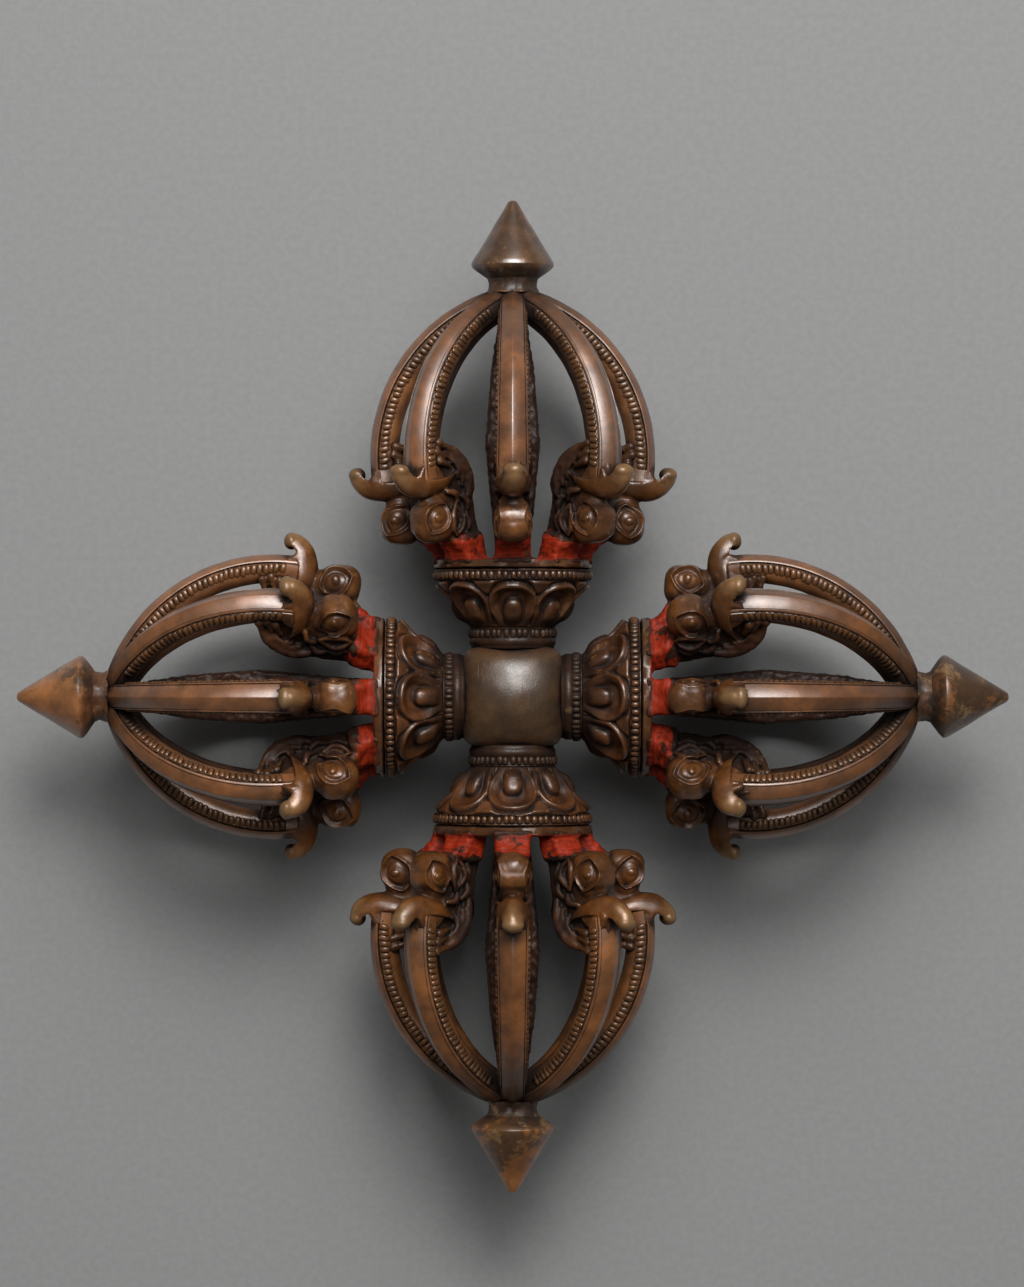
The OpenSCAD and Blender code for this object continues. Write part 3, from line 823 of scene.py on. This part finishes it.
def sink_eyes(cast, eyes):
    """Cuts a socket with a fine raised rim for each eye, and leaves a domed eye with a pupil in it."""
    def near(vert, eye):
        offset = vert.co - eye[0]
        if abs(offset.dot(eye[1])) > 2.0:
            return 9.0
        return almond(offset.dot(eye[2]) / eye[4], offset.dot(eye[3]) / eye[5])

    for eye in eyes:
        fine = [e for e in cast.edges if all(near(vert, eye) < EYE_SPAN for vert in e.verts)]
        bmesh.ops.subdivide_edges(cast, edges=fine, cuts=1, use_grid_fill=True)
        centre, axis, length, width, half_long, half_wide = eye
        for vert in cast.verts:
            away = near(vert, eye)
            if away > EYE_SPAN:
                continue
            along, across = (vert.co - centre).dot(length), (vert.co - centre).dot(width)
            dome = max(0.0, 1 - (along / half_long / 0.62) ** 2 - (across / half_wide / 0.6) ** 2)
            pupil = max(0.0, 1 - (along / 0.6) ** 2 - (across / 0.75) ** 2)
            rim = 0.3 * math.exp(-((away - 1.1) / 0.12) ** 2)
            brow = 0.22 * math.exp(-((away - 1.3) / 0.3) ** 2) * step_up(vert.co.z - centre.z, 0.0, 1.4)
            sunk = 0.42 * step_up(away, 1.02, 0.66)
            vert.co += axis * (rim + brow - sunk + 0.24 * math.sqrt(dome) + 0.3 * math.sqrt(pupil))


def carved_head(rng):
    """A beast head: root, skull with sunk eyes, trunk with a curled nose, jaw with teeth, and ears."""
    bm = bmesh.new()
    root_and_throat(bm, rng)
    skull(bm)
    trunk_and_nose(bm, rng.uniform(-0.2, 0.2))
    mouth_and_jaw(bm, rng)
    cheeks(bm, rng)
    cast = fused(bm, sizes().carving_grain)
    hand_worked(cast, 0.22, 3.2, rng.uniform(0, 9))
    hand_worked(cast, 0.14, 1.0, rng.uniform(0, 9),
                lambda place: max(step_up(place.z, 17.5, 14.0), 0.4 * step_up(place.x, 12.8, 13.4)))
    sink_eyes(cast, eye_places(rng))
    soften(cast, 0.2)
    # The nose is worn flat where the sceptre rests, and no part passes that plane
    for vert in cast.verts:
        vert.co.z = min(vert.co.z, NOSE_REACH)
    bmesh.ops.translate(cast, verts=cast.verts, vec=(SEAT_END, 0, 0))
    return through_modifier(cast, "DECIMATE", ratio=0.6)


def prong_casts():
    """Eight prongs, alike but each carved by hand, as meshes in the first prong's place."""
    casts = []
    rib = rib_shape()
    for k in range(1, PRONGS + 1):
        rng = random.Random(40 + k)
        blade = blade_and_ribs(rng, rib)
        sharpen(blade, 50)
        whole = carved_head(rng)
        join(whole, blade)
        casts.append(small_mesh("prong_cast", whole))
    bpy.data.meshes.remove(rib)
    return casts


def arch_line():
    """The middle line of half a petal's arch: across from the petal's middle, and up from the foot."""
    return smooth_path([(2.3, 0.2), (3.0, 2.0), (3.75, 4.0), (3.95, 5.6), (3.5, 7.2), (2.45, 8.3),
                        (1.2, 8.8), (0.0, 8.95)], 4)


def arch_distance(arch, across, up):
    """Distance of a point from a petal's arch, less than nothing inside it."""
    nearest = 99.0
    inside = False
    for (u, v), (next_u, next_v) in zip(arch, arch[1:]):
        run, rise = next_u - u, next_v - v
        share = ((across - u) * run + (up - v) * rise) / (run * run + rise * rise)
        share = max(0.0, min(1.0, share))
        nearest = min(nearest, math.hypot(across - u - run * share, up - v - rise * share))
        if v <= up < next_v:
            inside = across < u + run * (up - v) / rise
    if up < arch[0][1]:
        inside = across < arch[0][0]
    return -nearest if inside else nearest


def petal_relief(arch, across, up, gap):
    """Height of the carving: a crested leaf with a hollow face and a boss, and darts between leaves."""
    away = arch_distance(arch, across, up)
    fade = step_up(up, -0.4, 3.6)
    if away > 0:
        dart_half = max(0.001, (up - 5.4) * 0.62)
        dart = 0.55 * step_up(gap, dart_half, dart_half * 0.55)
        dart *= step_up(up, 6.0, 7.2) * step_up(up, 9.3, 9.1)
        outer_line = 0.28 * fade * math.exp(-((away - 0.75) / 0.16) ** 2)
        return max(dart, outer_line) - 0.2 * math.exp(-(away / 0.2) ** 2)
    crest = 0.6
    if away > -crest:
        leaf = 0.95 * math.sqrt(max(0.0, 1 - ((away + crest) / crest) ** 2))
    else:
        leaf = 0.95 * max(0.0, 1 + (away + crest) / 1.5) ** 1.7 - 0.35 * step_up(away, -1.2, -2.1)
    swell = 1 - abs(across / 1.55) ** 2.8 - abs((up - 2.9) / 2.75) ** 3.2
    boss = -0.35 + 1.5 * swell ** 0.45 if swell > 0 else -0.35
    return max(leaf * fade, boss * step_up(up, -0.2, 3.0))


def carved_cup(rng):
    """A lotus cup: a flared bowl with eight arched petals, each with a boss, and darts between them."""
    rows, columns = 60, 56
    foot_r, brim_r = NECK_R - 0.35, RIM_R - 0.75
    run, flare = RIM_START - NECK_END, brim_r - foot_r
    length = math.hypot(run, flare)
    slope = math.atan2(flare, run)
    bowl = [(NECK_END + run * i / rows, foot_r + flare * (i / rows - 0.08 * math.sin(math.pi * i / rows)))
            for i in range(rows + 1)]
    bm = bmesh.new()
    brim = [(RIM_START + 0.3, brim_r - 0.2), (CUP_END, brim_r - 0.5), (CUP_END, 0)]
    turned(bm, [(NECK_END, 0)] + bowl + brim, PRONGS * columns)
    arch = arch_line()
    stretch = [(rng.uniform(0.96, 1.04), rng.uniform(-0.2, 0.12)) for _ in range(PRONGS)]
    sector = 2 * math.pi / PRONGS
    for vert in bm.verts:
        radius = math.hypot(vert.co.y, vert.co.z)
        if radius < foot_r - 0.01 or vert.co.x > RIM_START + 0.01:
            continue
        angle = math.atan2(vert.co.y, vert.co.z)
        petal = round(angle / sector)
        wide, rise = stretch[petal % PRONGS]
        across = abs(angle - petal * sector) * radius
        up = (vert.co.x - NECK_END) / run * length
        height = petal_relief(arch, across * wide, up + rise, sector / 2 * radius - across)
        height *= step_up(up, 0.0, 0.5) * step_up(up, length, length - 0.25)
        grown = (radius + height * math.cos(slope)) / radius
        vert.co = Vector((vert.co.x - height * math.sin(slope), vert.co.y * grown, vert.co.z * grown))
    soften(bm, 0.12)
    return bm


def beaded_ring(start, end, over_r, beads, rng, plain=0.0):
    """A ring of hand-made beads between two thin fillets, after a plain band where it has one."""
    bm = bmesh.new()
    bead = bead_shape()
    fillet = 0.16
    row_start, row_end = start + plain + fillet, end - fillet
    bead_r = math.pi * over_r / beads
    band_r = over_r - bead_r * 0.8
    inner_r, fillet_r = band_r - 1.0, over_r - bead_r * 0.5
    foot = [(start, inner_r)]
    if plain:
        foot = [(start - 0.6, inner_r), (start - 0.6, over_r - 0.7), (start - 0.3, over_r - 0.5)]
    turned(bm, foot + [(start, fillet_r - 0.2), (start + 0.12, fillet_r), (row_start - 0.08, fillet_r),
                       (row_start + 0.04, band_r), (row_end - 0.04, band_r), (row_end + 0.08, fillet_r),
                       (end - 0.08, fillet_r), (end, fillet_r - 0.12), (end, inner_r), foot[0]], 120)
    hand_worked(bm, 0.1, 1.6, rng.uniform(0, 9))
    for i in range(beads):
        angle = 360 / beads * (i + rng.uniform(-0.14, 0.14))
        tall = bead_r * rng.uniform(0.84, 0.98)
        stamp(bm, bead, Matrix.Rotation(math.radians(angle), 4, "X")
              @ Matrix.Translation(((row_start + row_end) / 2 + rng.uniform(-0.06, 0.06), 0, over_r - tall))
              @ Matrix.Diagonal(((row_end - row_start) / 2 * rng.uniform(0.98, 1.12),
                                 bead_r * rng.uniform(0.84, 1.04), tall, 1)))
    bpy.data.meshes.remove(bead)
    return bm


class SCEPTRE_OT_hub(bpy.types.Operator):
    """Make the domed hub"""

    bl_idname = "sceptre.hub"
    bl_label = "Hub"

    def execute(self, context):
        bm = bmesh.new()
        bmesh.ops.create_cube(bm, size=2)
        bmesh.ops.subdivide_edges(bm, edges=bm.edges, cuts=40, use_grid_fill=True)
        squareness = 8.0
        for vert in bm.verts:
            across, up, rise = vert.co
            corner = (abs(across) ** squareness + abs(up) ** squareness) ** (1 / squareness)
            to_edge = max(abs(across), abs(up))
            shrunk = (HUB_HALF - HUB_INSET) * to_edge / max(corner, 0.001)
            x, y = across * shrunk, up * shrunk
            sag = math.sqrt(HUB_DOME_R * HUB_DOME_R + x * x + y * y) - HUB_DOME_R
            sag += HUB_ROLL_OFF * to_edge ** 9
            vert.co = Vector((x, y, rise * (HUB_TOP + HUB_RISE - sag)))
        soften(bm, 0.5, 5)
        hand_worked(bm, 0.08, 3.0, 3)
        for vert in bm.verts:
            vert.co.x = max(-HUB_HALF, min(HUB_HALF, vert.co.x))
            vert.co.y = max(-HUB_HALF, min(HUB_HALF, vert.co.y))
        add_piece("domed_hub", small_mesh("domed_hub", bm), on_arm(0), ["hub"], "worn_bronze",
                  finish_named("hub_bronze"))
        return {"FINISHED"}


class SCEPTRE_OT_rings(bpy.types.Operator):
    """Make the beaded neck and rim rings"""

    bl_idname = "sceptre.rings"
    bl_label = "Beaded rings"

    def execute(self, context):
        s = sizes()
        for arm in range(len(ARMS)):
            rng = random.Random(arm + 1)
            neck = beaded_ring(NECK_START, NECK_END, NECK_R, s.neck_beads, rng, NECK_PLAIN)
            add_on_arm(arm, "beaded_neck", "neck_ring", neck, "dark_bronze", "cup_bronze")
            rim = beaded_ring(RIM_START, RIM_END, RIM_R, s.rim_beads, rng)
            add_on_arm(arm, "beaded_rim", "rim_ring", rim, "bronze", "cup_bronze")
        return {"FINISHED"}


class SCEPTRE_OT_cups(bpy.types.Operator):
    """Make the lotus cups"""

    bl_idname = "sceptre.cups"
    bl_label = "Lotus cups"

    def execute(self, context):
        for arm in range(len(ARMS)):
            cup = carved_cup(random.Random(arm + 11))
            hand_worked(cup, 0.1, 1.8, arm + 11)
            add_on_arm(arm, "petalled_cup", "lotus_cup", cup, "dark_bronze", "cup_bronze")
        return {"FINISHED"}


class SCEPTRE_OT_seats(bpy.types.Operator):
    """Make the plates that the prongs stand on"""

    bl_idname = "sceptre.seats"
    bl_label = "Prong seats"

    def execute(self, context):
        for arm in range(len(ARMS)):
            bm = bmesh.new()
            lip = SEAT_END - 1.5
            turned(bm, [(CUP_END, SEAT_BORE), (CUP_END, SEAT_R - 0.9), (lip - 0.1, SEAT_R - 0.7),
                        (lip, SEAT_R - 0.25), (lip + 0.2, SEAT_R), (SEAT_END - 0.25, SEAT_R),
                        (SEAT_END, SEAT_R - 0.3), (SEAT_END, SEAT_BORE), (CUP_END, SEAT_BORE)], 120)
            hand_worked(bm, 0.12, 1.7, arm + 31)
            sharpen(bm, 50)
            add_on_arm(arm, "seat_plate", "prong_seat", bm, "bronze", "cup_bronze")
        return {"FINISHED"}


class SCEPTRE_OT_cores(bpy.types.Operator):
    """Make the square central prongs on their rods"""

    bl_idname = "sceptre.cores"
    bl_label = "Central prongs"

    def execute(self, context):
        for arm in range(len(ARMS)):
            bm = bmesh.new()
            stations = [(SEAT_END - 1, 2.3), (SEAT_END + 4, 2.9), (SEAT_END + 18.5, CORE_HALF),
                        (SEAT_END + 30, 3.4), (TIP_START - 5, 2.2), (TIP_START + 1, 2.0)]
            places = [Matrix.Translation((x, 0, 0)) @ Matrix.Diagonal((1, half, half, 1))
                      for x, half in stations]
            drawn_along(bm, [(-1, -1), (1, -1), (1, 1), (-1, 1)], places)
            round_edges(bm, 0.35)
            cast = fused(bm, 0.35)
            hand_worked(cast, 0.3, 0.9, arm + 41)
            add_on_arm(arm, "central_prong", "core_rod", cast, "dark_bronze", "core_bronze")
        return {"FINISHED"}


class SCEPTRE_OT_prongs(bpy.types.Operator):
    """Make the beast-headed outer prongs"""

    bl_idname = "sceptre.prongs"
    bl_label = "Outer prongs"

    def execute(self, context):
        casts = prong_casts()
        coats = [finish_named(coat) for coat in ("prong_bronze", "blade_bronze", "rib_bronze")]
        for arm, name in enumerate(ARMS):
            for k in range(1, PRONGS + 1):
                node = f"prong_{name}_{k}"
                cast = casts[(k - 1 + 3 * arm) % PRONGS].copy()
                cast.name = "cast_" + node
                add_piece("cast_" + node, cast, on_arm(arm) @ on_prong(k), [node], "bronze", *coats)
        for cast in casts:
            bpy.data.meshes.remove(cast)
        return {"FINISHED"}


class SCEPTRE_OT_tips(bpy.types.Operator):
    """Make the spear tips"""

    bl_idname = "sceptre.tips"
    bl_label = "Spear tips"

    def execute(self, context):
        neck = [(-0.4, -TIP_NECK_R), (-0.4, 0.45), (0, 0.25), (0.5, 0.05), (1.2, 0), (1.9, 0.3)]
        shoulder = [(-0.8, -0.7), (-0.35, -0.2), (0, 0), (0.35, -0.03), (0.8, -0.22)]
        point = [(-0.55, 0.9), (-0.25, 0.72), (-0.05, 0.4), (0, 0)]
        outline = [(TIP_START + x, TIP_NECK_R + r) for x, r in neck]
        outline += [(TIP_SHOULDER + x, TIP_R + r) for x, r in shoulder]
        outline += [(TIP_END + x, r) for x, r in point]
        for arm in range(len(ARMS)):
            bm = bmesh.new()
            turned(bm, outline, 72)
            bmesh.ops.subdivide_edges(bm, edges=[e for e in bm.edges if e.calc_length() > 0.8], cuts=5,
                                      use_grid_fill=True)
            hand_worked(bm, 0.1, 2.4, arm + 51)
            hand_worked(bm, 0.3, 0.9, arm + 61,
                        lambda place: step_up(place.x, TIP_START + 2.2, TIP_START + 0.8))
            for vert in bm.verts:
                vert.co.x = min(vert.co.x, TIP_END)
            sharpen(bm, 30)
            add_on_arm(arm, "spear_tip", "tip", bm, "worn_bronze", "tip_bronze")
        return {"FINISHED"}


# How far the camera stands east and north of the hub's middle, in metres, and the picture's shift upwards
CAMERA_EAST = -0.0001
CAMERA_NORTH = 0.00424
PICTURE_SHIFT = 0.0209


def area_light(name, place, target, size, power, tint):
    """Adds a round lamp that faces a point."""
    lamp = bpy.data.lights.new(name, "AREA")
    lamp.shape = "DISK"
    lamp.size = size
    lamp.energy = power
    lamp.color = tint
    holder = bpy.data.objects.new(name, lamp)
    holder.location = place
    holder.rotation_euler = (Vector(target) - Vector(place)).to_track_quat("-Z", "Y").to_euler()
    bpy.context.scene.collection.objects.link(holder)


class SCEPTRE_OT_stage(bpy.types.Operator):
    """Lay the floor and set the lights and camera"""

    bl_idname = "sceptre.stage"
    bl_label = "Stage"

    def execute(self, context):
        st = stage_settings()
        bm = bmesh.new()
        bmesh.ops.create_grid(bm, x_segments=4, y_segments=4, size=3.0)
        mesh = small_mesh("floor", bm)
        n = Nodes("floor_paper")
        place = n.add("TexCoord").outputs["Object"]
        grain = n.ramp(n.noise(place, 900.0, 3.0), 0.3, 0.7, 0.96, 1.04)
        n.put(tinted(n, colour(st.floor_colour), grain), n.shader.inputs["Base Color"])
        n.shader.inputs["Roughness"].default_value = 0.8
        mesh.materials.append(n.material)
        floor = bpy.data.objects.new("floor", mesh)
        context.scene.collection.objects.link(floor)

        world = bpy.data.worlds.new("studio")
        world.use_nodes = True
        world.node_tree.nodes["Background"].inputs["Color"].default_value = (1.0, 0.99, 0.97, 1)
        world.node_tree.nodes["Background"].inputs["Strength"].default_value = 0.1
        context.scene.world = world
        area_light("softbox", (0.06, 0.44, 0.74), (0, 0, 0.02), 0.8, 6.1, (1.0, 0.99, 0.98))
        area_light("softbox_middle", (0.06, 0.43, 0.72), (0, 0, 0.02), 0.3, 3.3, (1.0, 0.99, 0.97))

        camera = bpy.data.cameras.new("camera")
        camera.lens = st.lens
        camera.sensor_width = 36.0
        camera.clip_start = 0.01
        camera.shift_y = PICTURE_SHIFT
        holder = bpy.data.objects.new("camera", camera)
        holder.location = (CAMERA_EAST, CAMERA_NORTH, LIFT / MM + st.camera_height)
        context.scene.collection.objects.link(holder)
        context.scene.camera = holder
        context.scene.view_settings.view_transform = "Standard"
        return {"FINISHED"}


class SCEPTRE_PT_panel(bpy.types.Panel):
    """Lists the pieces of the crossed sceptre"""

    bl_label = "Crossed Sceptre"
    bl_idname = "SCEPTRE_PT_panel"
    bl_space_type = "VIEW_3D"
    bl_region_type = "UI"
    bl_category = "Sceptre"

    def draw(self, context):
        for group in (sizes(), finishes(), stage_settings()):
            for key in group.bl_rna.properties.keys():
                if key not in ("rna_type", "name"):
                    self.layout.prop(group, key)
        for operator in OPERATORS:
            self.layout.operator(operator.bl_idname)


OPERATORS = (SCEPTRE_OT_stage, SCEPTRE_OT_hub, SCEPTRE_OT_rings, SCEPTRE_OT_cups, SCEPTRE_OT_seats,
             SCEPTRE_OT_cores, SCEPTRE_OT_prongs, SCEPTRE_OT_tips)
CLASSES = (SceptreSizes, SceptreFinishes, SceptreStage) + OPERATORS + (SCEPTRE_PT_panel,)


def register():
    for cls in CLASSES:
        bpy.utils.register_class(cls)
    bpy.types.Scene.sceptre_sizes = PointerProperty(type=SceptreSizes)
    bpy.types.Scene.sceptre_finishes = PointerProperty(type=SceptreFinishes)
    bpy.types.Scene.sceptre_stage = PointerProperty(type=SceptreStage)


def unregister():
    del bpy.types.Scene.sceptre_sizes
    del bpy.types.Scene.sceptre_finishes
    del bpy.types.Scene.sceptre_stage
    for cls in reversed(CLASSES):
        bpy.utils.unregister_class(cls)


def main():
    register()
    bpy.ops.sceptre.stage()
    bpy.ops.sceptre.hub()
    bpy.ops.sceptre.rings()
    bpy.ops.sceptre.cups()
    bpy.ops.sceptre.seats()
    bpy.ops.sceptre.cores()
    bpy.ops.sceptre.prongs()
    bpy.ops.sceptre.tips()
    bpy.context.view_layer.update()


if __name__ == "__main__":
    main()
